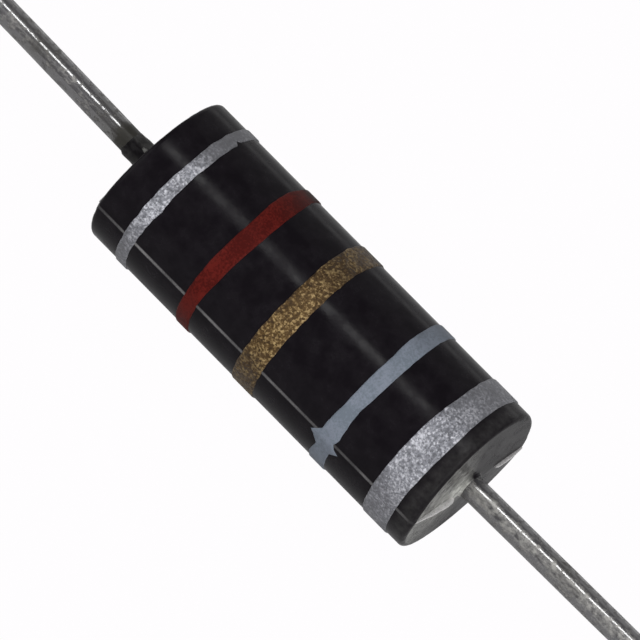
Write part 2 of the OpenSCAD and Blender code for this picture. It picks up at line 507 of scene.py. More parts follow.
@dataclass(frozen=True)
class FlakePaint(Finish):
    """Paint full of metal flakes: each flake lies at its own tilt, so some flash and some are dark."""

    # To the eye it is a grainy sparkle that is brightest where the paint faces the light and fades to a
    # smooth dark grey or brown where it lies thin. The brightest flakes in the colour are painted glints,
    # and the coverage also darkens each band towards both sides of the view as painted shade. Real flakes
    # are about 0.02 mm, too fine to show, so flake_mm draws them twice as coarse.
    dark: str = "#6f7076"
    middle: str = "#a3a4ac"
    # The brightest flakes' colour is a painted glint
    bright: str = "#e6e6ee"
    # Colour where the paint lies thin, also used as painted shade towards both sides of the band
    under_and_shade: str = "#66666a"
    flake_mm: float = 0.04
    cluster_mm: float = 0.075
    cloud_mm: float = 0.5
    tilt: float = 0.36

    def make(self) -> bpy.types.Material:
        """Makes the paint: flakes by cells with painted glints, thin places and painted shade by coverage.
        """
        material, tree, shader, place = self.start()
        cells = add_node(
            tree,
            "ShaderNodeTexVoronoi",
            {"Scale": per_mm(self.flake_mm), "Randomness": 1.0},
            {"Vector": place},
        )
        own = add_node(tree, "ShaderNodeSeparateColor", links={"Color": cells.outputs["Color"]})
        clusters = add_node(
            tree,
            "ShaderNodeTexNoise",
            {"Scale": per_mm(self.cluster_mm), "Detail": 4.0, "Roughness": 0.6},
            {"Vector": place},
        ).outputs["Fac"]
        settled = add_node(
            tree, "ShaderNodeMix", {0: 0.25}, {2: clusters, 3: own.outputs["Red"]}
        ).outputs[0]
        cloud = add_node(
            tree, "ShaderNodeTexNoise", {"Scale": per_mm(self.cloud_mm), "Detail": 2.0}, {"Vector": place}
        ).outputs["Fac"]
        heaped = add_node(
            tree, "ShaderNodeMath", {1: 0.4}, {0: cloud, 2: settled}, operation="MULTIPLY_ADD"
        ).outputs[0]
        lower = add_node(
            tree, "ShaderNodeMapRange", {"From Min": 0.52, "From Max": 0.75}, {"Value": heaped}
        ).outputs["Result"]
        # Where the colour turns to the brightest flakes: painted glints
        upper = add_node(
            tree, "ShaderNodeMapRange", {"From Min": 0.72, "From Max": 0.91}, {"Value": heaped}
        ).outputs["Result"]
        dull = add_node(
            tree,
            "ShaderNodeMix",
            {6: linear(self.dark), 7: linear(self.middle)},
            {0: lower},
            data_type="RGBA",
        ).outputs[2]
        flakes = add_node(
            tree, "ShaderNodeMix", {7: linear(self.bright)}, {0: upper, 6: dull}, data_type="RGBA"
        ).outputs[2]
        # Thin paint, and painted shade that darkens the band towards both sides of the view
        cover_and_shade = add_node(tree, "ShaderNodeAttribute", attribute_name="cover_and_shade").outputs["Fac"]
        colour = add_node(
            tree, "ShaderNodeMix", {6: linear(self.under_and_shade)}, {0: cover_and_shade, 7: flakes}, data_type="RGBA"
        ).outputs[2]
        lean = add_node(
            tree,
            "ShaderNodeVectorMath",
            {1: (0.5, 0.5, 0.5)},
            {0: cells.outputs["Color"]},
            operation="SUBTRACT",
        ).outputs["Vector"]
        level = add_node(tree, "ShaderNodeNewGeometry").outputs["Normal"]
        tilted = add_node(
            tree,
            "ShaderNodeVectorMath",
            {1: (self.tilt, self.tilt, self.tilt)},
            {0: lean, 2: level},
            operation="MULTIPLY_ADD",
        ).outputs["Vector"]
        normal = add_node(
            tree, "ShaderNodeVectorMath", links={0: tilted}, operation="NORMALIZE"
        ).outputs["Vector"]
        sheen = {"Metallic": 0.25, "Roughness": 0.45, "Specular IOR Level": 0.25}
        connect(tree, shader, sheen, {"Base Color": colour, "Normal": normal})
        return material


@dataclass(frozen=True)
class PigmentPaint(Finish):
    """Plain pigment paint: even satin, fine grain, thinner where the roller lifted, painted shade at sides.
    """

    # To the eye it is one flat colour with hardly any shine, darker where the black resin shows through
    # and, as painted shade, towards both sides of the band. Real pigment grains are too fine to show, so
    # grain_mm draws them much coarser.
    pigment: str = "#641e19"
    deep: str = "#4b1310"
    # Colour where the paint lies thin, also used as painted shade towards both sides of the band
    under_and_shade: str = "#2a1a18"
    grain_mm: float = 0.05
    cloud_mm: float = 0.7
    gloss: float = 0.5

    def make(self) -> bpy.types.Material:
        """Makes the paint: cloudy pigment, fine grain, thin places and painted shade by coverage."""
        material, tree, shader, place = self.start()
        cloud = add_node(
            tree, "ShaderNodeTexNoise", {"Scale": per_mm(self.cloud_mm), "Detail": 4.0}, {"Vector": place}
        ).outputs["Fac"]
        grain = add_node(
            tree, "ShaderNodeTexNoise", {"Scale": per_mm(self.grain_mm), "Detail": 2.0}, {"Vector": place}
        ).outputs["Fac"]
        mixed = add_node(tree, "ShaderNodeMath", links={0: cloud, 1: grain}, operation="ADD").outputs[0]
        share = add_node(
            tree, "ShaderNodeMapRange", {"From Min": 0.86, "From Max": 1.14}, {"Value": mixed}
        ).outputs["Result"]
        body = add_node(
            tree,
            "ShaderNodeMix",
            {6: linear(self.deep), 7: linear(self.pigment)},
            {0: share},
            data_type="RGBA",
        ).outputs[2]
        # Thin paint, and painted shade that darkens the band towards both sides of the view
        cover_and_shade = add_node(tree, "ShaderNodeAttribute", attribute_name="cover_and_shade").outputs["Fac"]
        colour = add_node(
            tree, "ShaderNodeMix", {6: linear(self.under_and_shade)}, {0: cover_and_shade, 7: body}, data_type="RGBA"
        ).outputs[2]
        bump = add_node(
            tree, "ShaderNodeBump", {"Strength": 0.4, "Distance": 0.002 * MM}, {"Height": grain}
        )
        sheen = {"Roughness": self.gloss, "Specular IOR Level": 0.06}
        connect(tree, shader, sheen, {"Base Color": colour, "Normal": bump.outputs["Normal"]})
        return material


@dataclass(frozen=True)
class SpeckledSolid(Finish):
    """A finish of the pieces inside the resin: two tones in fine speckles, with a matching bump."""

    # None of it is seen from outside. Cut open, the iron powder is a matt dark grey, the enamelled
    # copper a shiny red-brown and the solder a bright satin grey.
    first: str = "#5a5654"
    second: str = "#3d3a39"
    speckle_mm: float = 0.06
    metallic: float = 0.0
    roughness: float = 0.6

    def make(self) -> bpy.types.Material:
        """Makes the speckled material."""
        material, tree, shader, place = self.start()
        speckle = add_node(
            tree,
            "ShaderNodeTexNoise",
            {"Scale": per_mm(self.speckle_mm), "Detail": 4.0},
            {"Vector": place},
        ).outputs["Fac"]
        share = add_node(
            tree, "ShaderNodeMapRange", {"From Min": 0.35, "From Max": 0.65}, {"Value": speckle}
        ).outputs["Result"]
        colour = add_node(
            tree,
            "ShaderNodeMix",
            {6: linear(self.first), 7: linear(self.second)},
            {0: share},
            data_type="RGBA",
        ).outputs[2]
        bump = add_node(
            tree, "ShaderNodeBump", {"Strength": 0.4, "Distance": 0.004 * MM}, {"Height": speckle}
        )
        sheen = {"Metallic": self.metallic, "Roughness": self.roughness}
        connect(tree, shader, sheen, {"Base Color": colour, "Normal": bump.outputs["Normal"]})
        return material


def dress(obj: bpy.types.Object, node: str, material: bpy.types.Material) -> None:
    """Gives a new piece its finish and puts it in place of a CAD node.

    Args:
        obj: The piece.
        node: The CAD node that it stands for.
        material: The finish's material.
    """
    obj.data.materials.append(material)
    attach(obj, BODY)
    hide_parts(node)
    log.info("%s stands for %s, %d faces", obj.name, node, len(obj.data.polygons))


@dataclass
class LeadAnchor:
    """The flattened stretch that anchors a lead in the resin, shared by the lead and its socket."""

    start_x: float = 4.12
    end_x: float = 4.84
    ramp: float = 0.05
    width: float = 0.734
    thickness: float = 0.36

    def stops(self, radius: float) -> list[tuple[float, float]]:
        """Gives the outline's points along the anchor, from the inside out, at the wire's radius."""
        return [
            (self.start_x, radius),
            (self.start_x + self.ramp, radius),
            (self.end_x - self.ramp, radius),
            (self.end_x, radius),
        ]

    def flatten(self, co: Vector, radius: float) -> None:
        """Moves a point of the wire's wall onto the flattened section, if it is on that stretch.

        Args:
            co: The point, which is changed.
            radius: Radius of the wire.
        """
        inside = self.start_x + self.ramp / 2 < abs(co.x) < self.end_x - self.ramp / 2
        if inside and abs(radius_about_x(co) - radius) < NEAR_MM:
            reach_y = self.width / 2 / max(abs(co.y) / radius, LEAST)
            reach_z = self.thickness / 2 / max(abs(co.z) / radius, LEAST)
            set_radius(co, min(reach_y, reach_z))


@dataclass
class MouldedBody:
    """The resin body with its rims, torn fins and ridges, collars and the cavity that holds the wound core.
    """

    finish: Finish
    anchor: LeadAnchor
    end_x: float = BODY_END_X
    radius: float = BODY_R
    draft: float = 2.5
    rim_r: float = 0.11
    flash_t: float = 0.05
    side_flash_h: float = 0.012
    end_flash_h: float = 0.1
    front_fin: tuple[float, float] = (0.61, 1.82)
    rear_fin: tuple[float, float] = (0.9, 1.82)
    fin_profile: Marks = ((0.0, 0.4), (0.1, 0.8), (0.3, 1.0), (0.75, 0.9), (1.0, 0.35))
    low_fin_profile: Marks = ((0.0, 0.4), (0.1, 0.75), (0.3, 0.8), (0.75, 0.7), (1.0, 0.3))
    tapered_fin_profile: Marks = ((0.0, 0.8), (0.06, 1.4), (0.35, 1.4), (0.65, 0.9), (1.0, 0.2))
    ridge_marks: Marks = (
        (-4.75, 0.3), (-4.2, 0.32), (-3.5, 0.85), (-3.1, 0.64), (-2.6, 0.35), (-2.4, 0.7), (-1.6, 0.35),
        (-1.3, 0.74), (-0.9, 0.48), (0.4, 0.45), (0.65, 0.55), (1.5, 0.37), (2.8, 0.25), (3.4, 0.52),
        (4.4, 0.3), (4.6, 0.2), (4.75, 0.0),
    )
    # A faint pale tint round the right end, beside the rim and on it, and fainter on both end faces
    rim_pale_tint: Marks = ((4.38, 0.0), (4.5, 0.03), (4.74, 0.03), (4.87, 0.012))
    face_pale_tint: float = 0.005
    # A painted highlight: share of the pale colour in the key lamp's glint on a lump of the left collar
    collar_glint_share: float = 0.4
    face_zone_depth: float = 0.1
    face_zone_lead_gap: float = 0.02
    # Residue at the right lead's foot, and a painted reflection across the lower front of the right end
    # face: its share by angle and by distance from the axis
    smear_and_reflection_turn: Marks = ((98, 0.0), (125, 0.5), (160, 1.0), (200, 0.8), (235, 0.4), (280, 0.0))
    smear_and_reflection_reach: Marks = ((0.3, 1.0), (0.6, 0.9), (1.0, 0.5), (1.4, 0.35), (1.84, 0.38))
    # A painted sheen: the pale colour by angle round both collars, lighter towards both sides of the view
    # and darkest where they face the camera
    collar_sheen: Marks = ((60, 0.1), (105, 0.09), (122, 0.01), (150, 0.01), (170, 0.06), (300, 0.06))
    # A painted highlight: place along X, angle and size of that glint on the left collar
    collar_glint: tuple[float, float, float] = (-5.19, 115, 0.05)
    lead_r: float = LEAD_R
    left_collar_l: float = 0.72
    right_collar_l: float = 0.06
    collar_foot_t: float = 0.06
    collar_tip_t: float = 0.02
    core_end_x: float = 3.37
    window_x: float = 2.82
    flange_r: float = 1.3
    sleeve_r: float = 1.217
    solder_r: float = 0.62
    steps: int = AROUND
    rim_steps: int = 8
    side_steps: int = 56
    face_step: float = 0.06
    face_ring_r: float = 0.5
    fin_face_r: float = 0.45
    fin_window: float = 15.0
    solder_steps: int = 8
    collar_gap: float = 0.03
    collar_first: float = 0.03
    collar_start: float = 0.08
    collar_step: float = 0.07
    collar_rings: int = 13
    # Shares of the collar's length and of its tip's thickness
    collar_lip: tuple[float, float] = (0.97, 0.7)
    # Flash at a fin's foot, then at its top: the start and the gain with height
    fin_foot_flash: float = 0.5
    fin_flash: tuple[float, float] = (0.6, 0.75)
    # A fin's torn top: mean share of its height and spread, then noise scales along, between ends, across
    fin_tear: tuple[float, float] = (0.84, 0.16)
    fin_tear_scale: tuple[float, float, float] = (7.0, 3.1, 9.0)
    # The ridge: least height, wear and its noise, and its pale colour at the foot and the crest, which is
    # a painted highlight of the side light
    ridge_least: float = 0.3
    ridge_wear: float = 0.2
    ridge_wear_scale: float = 5.0
    ridge_seed: tuple[float, float] = (4.0, 0.5)
    ridge_flash: tuple[float, float] = (0.31, 0.36)
    # Lumps and the ragged tip of the collars, and chips along the rims
    collar_clear: float = 0.01
    collar_most_r: float = 0.4
    collar_least_t: float = 0.004
    lump_h: float = 0.025
    lump_mm: float = 0.25
    lump_size: float = 0.8
    lump_seed: float = 2.0
    tip_reach: float = 0.1
    tip_seed: tuple[float, float] = (3.0, 4.0)
    rim_share: float = 0.9
    rim_chip_h: float = 0.012
    rim_chip_stretch: float = 2.0
    rim_chip_size: float = 0.09
    rim_chip_seed: float = 5.0

    def end_outline(self, collar_l: float) -> list[tuple[float, float]]:
        """Gives the outline of one end, from the side to the lead and in to the core.

        Args:
            collar_l: Length of the resin collar on the lead.

        Returns:
            Points of x and radius, with x outwards from the middle.
        """
        points = []
        for i in range(self.rim_steps + 1):
            turn = math.pi / 2 * i / self.rim_steps
            points.append(
                (
                    self.end_x - self.rim_r * (1 - math.sin(turn)),
                    self.radius - self.rim_r * (1 - math.cos(turn)),
                ),
            )
        outer, front, rear = self.front_fin[1], self.front_fin[0], self.rear_fin[0]
        for top, bottom in ((outer, rear), (rear, front)):
            count = round((top - bottom) / self.face_step)
            points += [(self.end_x, top - (top - bottom) * i / count) for i in range(count)]
        points += [
            (self.end_x, front),
            (self.end_x, self.face_ring_r),
            (self.end_x, self.lead_r + self.collar_foot_t + self.collar_gap),
        ]
        thickness = self.collar_foot_t - self.collar_tip_t
        shares = [self.collar_first]
        shares += [self.collar_start + self.collar_step * i for i in range(self.collar_rings)]
        for share in shares:
            layer = self.collar_tip_t + thickness * (1 - share) ** 2
            points.append((self.end_x + collar_l * share, self.lead_r + layer))
        lip_share, lip_t = self.collar_lip
        points.append((self.end_x + collar_l * lip_share, self.lead_r + self.collar_tip_t * lip_t))
        points.append((self.end_x + collar_l, self.lead_r))
        points += reversed(self.anchor.stops(self.lead_r))
        foot = math.acos(self.lead_r / self.solder_r)
        for i in range(self.solder_steps + 1):
            turn = foot * (1 - i / self.solder_steps)
            x = self.core_end_x + self.solder_r * math.sin(turn)
            points.append((x, self.solder_r * math.cos(turn)))
        points += [
            (self.core_end_x, self.flange_r),
            (self.window_x, self.flange_r),
            (self.window_x, self.sleeve_r),
        ]
        return points

    def outline(self) -> list[tuple[float, float]]:
        """Gives the body's whole closed outline of x and radius."""
        right = self.end_outline(self.right_collar_l)
        left = [(-x, radius) for x, radius in self.end_outline(self.left_collar_l)]
        reach = self.end_x - self.rim_r
        side = [(reach * (2 * i / self.side_steps - 1), self.radius) for i in range(1, self.side_steps)]
        return side + right + left[::-1]

    def square_up_fins(self, bm: bmesh.types.BMesh) -> None:
        """Spreads the end faces' points near the parting plane, so that a fin has even thickness.

        Args:
            bm: The body's mesh.
        """
        step = 360 / self.steps
        window = self.fin_window
        for vert in bm.verts:
            radius = radius_about_x(vert.co)
            on_face = abs(abs(vert.co.x) - self.end_x) < MERGE_MM
            if not (on_face and self.fin_face_r < radius < self.radius - self.rim_r + MERGE_MM):
                continue
            angle = angle_about_x(vert.co)
            base = 180.0 * round(angle / 180)
            off = angle - base
            if abs(off) < step / 2 or abs(off) > window:
                continue
            first = math.degrees(math.asin(self.flash_t / 2 / radius))
            share = (abs(off) - step) / (window - step)
            turn = math.radians(base + math.copysign(first + (window - first) * share, off))
            vert.co.y = radius * math.cos(turn)
            vert.co.z = radius * math.sin(turn)

    def raise_fin(
        self,
        bm: bmesh.types.BMesh,
        end: End,
        side: int,
        span: tuple[float, float],
        profile: Marks,
        flash: bmesh.types.BMLayerItem,
    ) -> None:
        """Raises one torn fin out of an end face.

        Args:
            bm: The body's mesh.
            end: Which end.
            side: 1 for the rear (+Y) fin and -1 for the front one.
            span: The fin's inner and outer distance from the axis.
            profile: Share of the fin's height, from its inner end at 0 to its outer end at 1.
            flash: The layer that marks the torn fins and the painted ridge highlight.
        """
        inner, outer = span
        faces = []
        for face in bm.faces:
            middle = face.calc_center_median()
            on_face = abs(middle.x - end.value * self.end_x) < MERGE_MM
            if on_face and abs(middle.z) < self.flash_t / 2 and inner < middle.y * side < outer:
                faces.append(face)
        for face in faces:
            for vert in face.verts:
                vert[flash] = self.fin_foot_flash
        made = bmesh.ops.extrude_face_region(bm, geom=faces)
        bmesh.ops.delete(bm, geom=faces, context="FACES")
        tops = [item for item in made["geom"] if isinstance(item, bmesh.types.BMVert)]
        mean, spread = self.fin_tear
        along, apart, across = self.fin_tear_scale
        start, gain = self.fin_flash
        for vert in tops:
            share = (vert.co.y * side - inner) / (outer - inner)
            spot = Vector((vert.co.y * along, end.value * apart, vert.co.z * across))
            torn = mean + spread * noise.noise(spot)
            height = between(profile, share)
            vert.co.x += end.value * self.end_flash_h * torn * height
            vert[flash] = min(1.0, start + gain * height)

    def raise_ridge(self, bm: bmesh.types.BMesh, flash: bmesh.types.BMLayerItem) -> None:
        """Raises the parting ridge along both sides, and marks a painted highlight along it.

        Args:
            bm: The body's mesh.
            flash: The layer that marks the torn fins and the painted ridge highlight.
        """
        step = 360 / self.steps
        side_seed, seed = self.ridge_seed
        foot, crest = self.ridge_flash
        for vert in bm.verts:
            radius = radius_about_x(vert.co)
            off = angle_about_x(vert.co) % 180
            off = min(off, 180 - off)
            if radius < self.radius - self.rim_r / 2 or off > step * RIDGE_STEPS:
                continue
            worn = between(self.ridge_marks, vert.co.x)
            spot = Vector((vert.co.x * self.ridge_wear_scale, math.copysign(side_seed, vert.co.y), seed))
            worn += self.ridge_wear * noise.noise(spot)
            worn = max(0.0, min(1.0, worn))
            set_radius(vert.co, radius + self.side_flash_h * max(self.ridge_least, worn))
            # A painted highlight of the side light, laid on the ridge in the pale fin colour
            vert[flash] = foot * worn if off > step / 2 else crest * worn

    def lean_ends(self, bm: bmesh.types.BMesh) -> None:
        """Slopes the end faces and rims back from the parting plane.

        Args:
            bm: The body's mesh.
        """
        slope = math.tan(math.radians(self.draft))
        for vert in bm.verts:
            if abs(vert.co.x) > self.end_x - self.rim_r - MERGE_MM:
                vert.co.x -= math.copysign(abs(vert.co.z) * slope, vert.co.x)

    def roughen(self, bm: bmesh.types.BMesh) -> None:
        """Makes the collars lumpy and the rims slightly uneven.

        Args:
            bm: The body's mesh.
        """
        rim = self.rim_r * self.rim_share
        inner_r = self.lead_r + NEAR_MM
        tip_x, tip_seed = self.tip_seed
        for vert in bm.verts:
            radius = radius_about_x(vert.co)
            angle = angle_about_x(vert.co)
            if abs(vert.co.x) > self.end_x + self.collar_clear and inner_r < radius < self.collar_most_r:
                lump = ring_noise(vert.co.x / self.lump_mm, angle, self.lump_size, self.lump_seed)
                set_radius(vert.co, max(self.lead_r + self.collar_least_t, radius + self.lump_h * lump))
                reach = (abs(vert.co.x) - self.end_x) / self.left_collar_l
                ragged = ring_noise(tip_x, angle, self.lump_size, tip_seed)
                vert.co.x += math.copysign(self.tip_reach * reach * reach * ragged, vert.co.x)
            elif abs(vert.co.x) > self.end_x - rim and radius > self.radius - rim:
                spot_x = vert.co.x * self.rim_chip_stretch
                chip = ring_noise(spot_x, angle, self.rim_chip_size, self.rim_chip_seed)
                vert.co.x -= math.copysign(self.rim_chip_h * max(0.0, chip), vert.co.x)

    def dull(self, bm: bmesh.types.BMesh) -> None:
        """Marks a pale colour: a faint tint, residue, and a painted reflection, sheen and glint.

        Args:
            bm: The body's mesh.
        """
        film_and_sheen = bm.verts.layers.float.new("film_and_sheen")
        face_r = self.lead_r + self.face_zone_lead_gap
        for vert in bm.verts:
            radius = radius_about_x(vert.co)
            out = abs(vert.co.x) - self.end_x
            angle = angle_about_x(vert.co)
            # A faint pale tint round the right end, beside the rim and on it
            if radius > self.radius - self.rim_r - MERGE_MM:
                vert[film_and_sheen] = between(self.rim_pale_tint, vert.co.x)
            # Residue and a painted reflection on the right end face, and a faint tint on both end faces
            elif -self.face_zone_depth < out < self.end_flash_h * 2 and radius > face_r:
                smear_and_reflection = between(self.smear_and_reflection_turn, angle) * between(self.smear_and_reflection_reach, radius)
                vert[film_and_sheen] = self.face_pale_tint + (smear_and_reflection if vert.co.x > 0 else 0.0)
            # A painted sheen on both sides of each collar
            elif out > 0 and radius > self.lead_r - MERGE_MM:
                vert[film_and_sheen] = between(self.collar_sheen, angle)
            # A painted highlight: the key lamp's glint on a lump of the left collar
            glint_x, glint_angle, glint_size = self.collar_glint
            turn = math.radians(glint_angle - angle) * radius
            if radius > self.lead_r and math.hypot(vert.co.x - glint_x, turn) < glint_size:
                vert[film_and_sheen] = self.collar_glint_share

    def build(self) -> None:
        """Builds and dresses the body."""
        bm = turned(self.outline(), self.steps, closed=True)
        flash = bm.verts.layers.float.new("flash")
        for vert in bm.verts:
            self.anchor.flatten(vert.co, self.lead_r)
        self.square_up_fins(bm)
        for end in End:
            right = end is End.RIGHT
            rear = self.low_fin_profile if right else self.fin_profile
            front = self.tapered_fin_profile if right else self.fin_profile
            self.raise_fin(bm, end, 1, self.rear_fin, rear, flash)
            self.raise_fin(bm, end, -1, self.front_fin, front, flash)
        self.raise_ridge(bm, flash)
        self.dull(bm)
        self.lean_ends(bm)
        self.roughen(bm)
        obj = piece(bm, "resin_body", sharp_angle=35)
        dress(obj, "moulded_body", self.finish.make())


@dataclass
class PaintBand:
    """One painted band: a thin ring with wavy edges, which lies on the resin."""

    node: str
    name: str
    finish: Finish
    left_edge: Marks = ((0, 0.0),)
    right_edge: Marks = ((0, 0.0),)
    # Coverage by angle: partly thin paint, partly painted shade that darkens the band towards both sides of
    # the view; the last value holds round the back to the fade angle, then returns to the first
    cover_and_shade: Marks = ((0, 1.0),)
    cover_and_shade_fade: float = 300.0
    wave: float = 0.012
    seed: float = 0.0
    steps: int = AROUND
    across: int = 10
    body_r: float = BODY_R
    ridge_h: float = 0.013
    shoulder: float = 0.035
    # Where the shoulder bends: shares of its width and of the paint's thickness
    bend: tuple[float, float] = (0.3, 0.6)
    edge_bump: float = 0.12
    thin_depth: float = 0.12
    thin_bump: float = 0.15
    thin_stretch: float = 2.0
    # Added to the seed for the right edge and for the thin places
    edge_seed: float = 9.0
    thin_seed: float = 4.0

    def outline(self, x0: float, x1: float, top_r: float) -> list[tuple[float, float]]:
        """Gives the ring's closed section.

        Args:
            x0: Lower end along X.
            x1: Upper end along X.
            top_r: Radius of the painted surface.

        Returns:
            Points of x and radius.
        """
        rise = top_r - self.body_r
        bend_x, bend_r = self.bend
        points = [(x0, self.body_r), (x0 + self.shoulder * bend_x, self.body_r + rise * bend_r)]
        first, last = x0 + self.shoulder, x1 - self.shoulder
        points += [(first + (last - first) * i / self.across, top_r) for i in range(self.across + 1)]
        points += [(x1 - self.shoulder * bend_x, self.body_r + rise * bend_r), (x1, self.body_r)]
        return points

    def build(self) -> None:
        """Builds and dresses the band."""
        low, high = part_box(self.node)
        x0, x1, top_r = low.x / MM, high.x / MM, max(-low.z, high.z) / MM
        bm = turned(self.outline(x0, x1, top_r), self.steps, closed=True)
        # Thin paint and painted shade, by angle and a little noise
        cover_and_shade = bm.verts.layers.float.new("cover_and_shade")
        all_round = (*self.cover_and_shade, (self.cover_and_shade_fade, self.cover_and_shade[-1][1]), (360, self.cover_and_shade[0][1]))
        step = 360 / self.steps
        for vert in bm.verts:
            angle = angle_about_x(vert.co)
            share = (vert.co.x - x0) / (x1 - x0)
            wavy = self.wave * ring_noise(0, angle, self.edge_bump, self.seed)
            left = between(self.left_edge, angle) + wavy
            wavy = self.wave * ring_noise(0, angle, self.edge_bump, self.seed + self.edge_seed)
            right = between(self.right_edge, angle) + wavy
            off = min(angle % 180, 180 - angle % 180)
            if radius_about_x(vert.co) < self.body_r + MERGE_MM and off < step * RIDGE_STEPS:
                set_radius(vert.co, self.body_r + self.ridge_h)
            vert.co.x += left * (1 - share) + right * share
            spot_x = vert.co.x * self.thin_stretch
            thin = self.thin_depth * ring_noise(spot_x, angle, self.thin_bump, self.seed + self.thin_seed)
            vert[cover_and_shade] = max(0.0, min(1.0, between(all_round, angle) + thin))
        obj = piece(bm, self.name, sharp_angle=50)
        dress(obj, self.node, self.finish.make())


@dataclass
class Lead:
    """One tinned wire lead, with the stretch of it that is anchored in the resin and the core."""

    end: End
    finish: Finish
    anchor: LeadAnchor
    material: bpy.types.Material
    radius: float = LEAD_R
    inner_x: float = 2.37
    body_x: float = BODY_END_X
    tip_chamfer: float = 0.05
    ring_gap: float = 0.2
    steps: int = 64
    lump: float = 0.004
    lump_size: float = 0.9
    lump_seed: float = 7.0
    lump_sink: float = 0.6
    lump_fade: float = 0.4
    plain_l: float = 0.05
    wall_share: float = 0.7
    bow: float = 0.14
    bow_way: tuple[float, float, float] = (0.0, 0.742, 0.670)
    # Smudges by angle and by distance from the body: partly residue and partly a painted reflection on the
    # side that faces the lamps
    smudge_and_reflection_turn: Marks = ((95, 0.0), (118, 1.0), (150, 0.9), (170, 0.3), (200, 0.0))
    smudge_and_reflection_reach: Marks = ((0.0, 0.0),)
    stain_reach: Marks = ((0.0, 0.0),)

    def outline(self, tip_x: float) -> list[tuple[float, float]]:
        """Gives the lead's outline from its inner end to its tip.

        Args:
            tip_x: Distance of the tip from the middle of the body.

        Returns:
            Points of x and radius, with x outwards from the middle.
        """
        points = [(self.inner_x, 0.0), (self.inner_x, self.radius)]
        points += self.anchor.stops(self.radius)
        wall_end = tip_x - self.tip_chamfer
        count = round((wall_end - self.body_x) / self.ring_gap)
        points += [
            (self.body_x + (wall_end - self.body_x) * i / count, self.radius)
            for i in range(count + 1)
        ]
        points += [(tip_x, self.radius - self.tip_chamfer), (tip_x, 0.0)]
        return points

    def build(self) -> None:
        """Builds and dresses the lead."""
        low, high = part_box(f"{self.end.name.lower()}_lead")
        tip_x = max(abs(low.x), abs(high.x)) / MM
        bm = turned(self.outline(tip_x), self.steps, closed=False)
        smudge_and_reflection = bm.verts.layers.float.new("smudge_and_reflection")
        stain = bm.verts.layers.float.new("stain")
        bow_way = Vector(self.bow_way).normalized()
        for vert in bm.verts:
            self.anchor.flatten(vert.co, self.radius)
            radius = radius_about_x(vert.co)
            out = vert.co.x - self.body_x
            if out < self.plain_l:
                continue
            if radius > self.radius * self.wall_share:
                angle = angle_about_x(vert.co)
                fade = min(1.0, out / self.lump_fade)
                lump = ring_noise(vert.co.x, angle, self.lump_size, self.lump_seed + self.end.value)
                set_radius(vert.co, radius + self.lump * fade * (lump - self.lump_sink))
                # Smudges, partly a painted reflection on the side that faces the lamps
                vert[smudge_and_reflection] = between(self.smudge_and_reflection_reach, out) * between(self.smudge_and_reflection_turn, angle)
                vert[stain] = between(self.stain_reach, out)
            vert.co += bow_way * self.bow * math.sin(math.pi * out / (tip_x - self.body_x))
        bmesh.ops.scale(bm, vec=(self.end.value, 1, 1), verts=bm.verts)
        name = self.end.name.lower()
        obj = piece(bm, f"tinned_lead_{name}", sharp_angle=35)
        dress(obj, f"{name}_lead", self.material)


@dataclass
class WoundCore:
    """The core, winding and solder joints inside the resin, which keep their CAD shapes."""

    core: Finish
    winding: Finish
    solder: Finish

    def build(self) -> None:
        """Gives the inner CAD nodes their finishes."""
        solder = self.solder.make()
        for node, material in (
            ("core", self.core.make()),
            ("winding", self.winding.make()),
            ("left_solder_joint", solder),
            ("right_solder_joint", solder),
        ):
            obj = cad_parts[node]
            obj.data.materials.clear()
            obj.data.materials.append(material)
            log.info("%s keeps its CAD shape", node)


@dataclass(frozen=True)
class Lamp:
    """A soft rectangular lamp that faces the part: where it is, its size and how bright it looks."""

    name: str
    towards: tuple[float, float, float]
    distance: float
    size: tuple[float, float]
    radiance: float

    def build(self) -> None:
        """Puts the lamp in the scene."""
        light = bpy.data.lights.new(self.name, "AREA")
        light.shape = "RECTANGLE"
        light.size, light.size_y = self.size
        light.energy = LAMP_FACTOR * self.radiance * self.size[0] * self.size[1]
        obj = bpy.data.objects.new(self.name, light)
        way = Vector(self.towards).normalized()
        obj.location = way * self.distance
        obj.rotation_euler = way.to_track_quat("Z", "Y").to_euler()
        bpy.context.scene.collection.objects.link(obj)


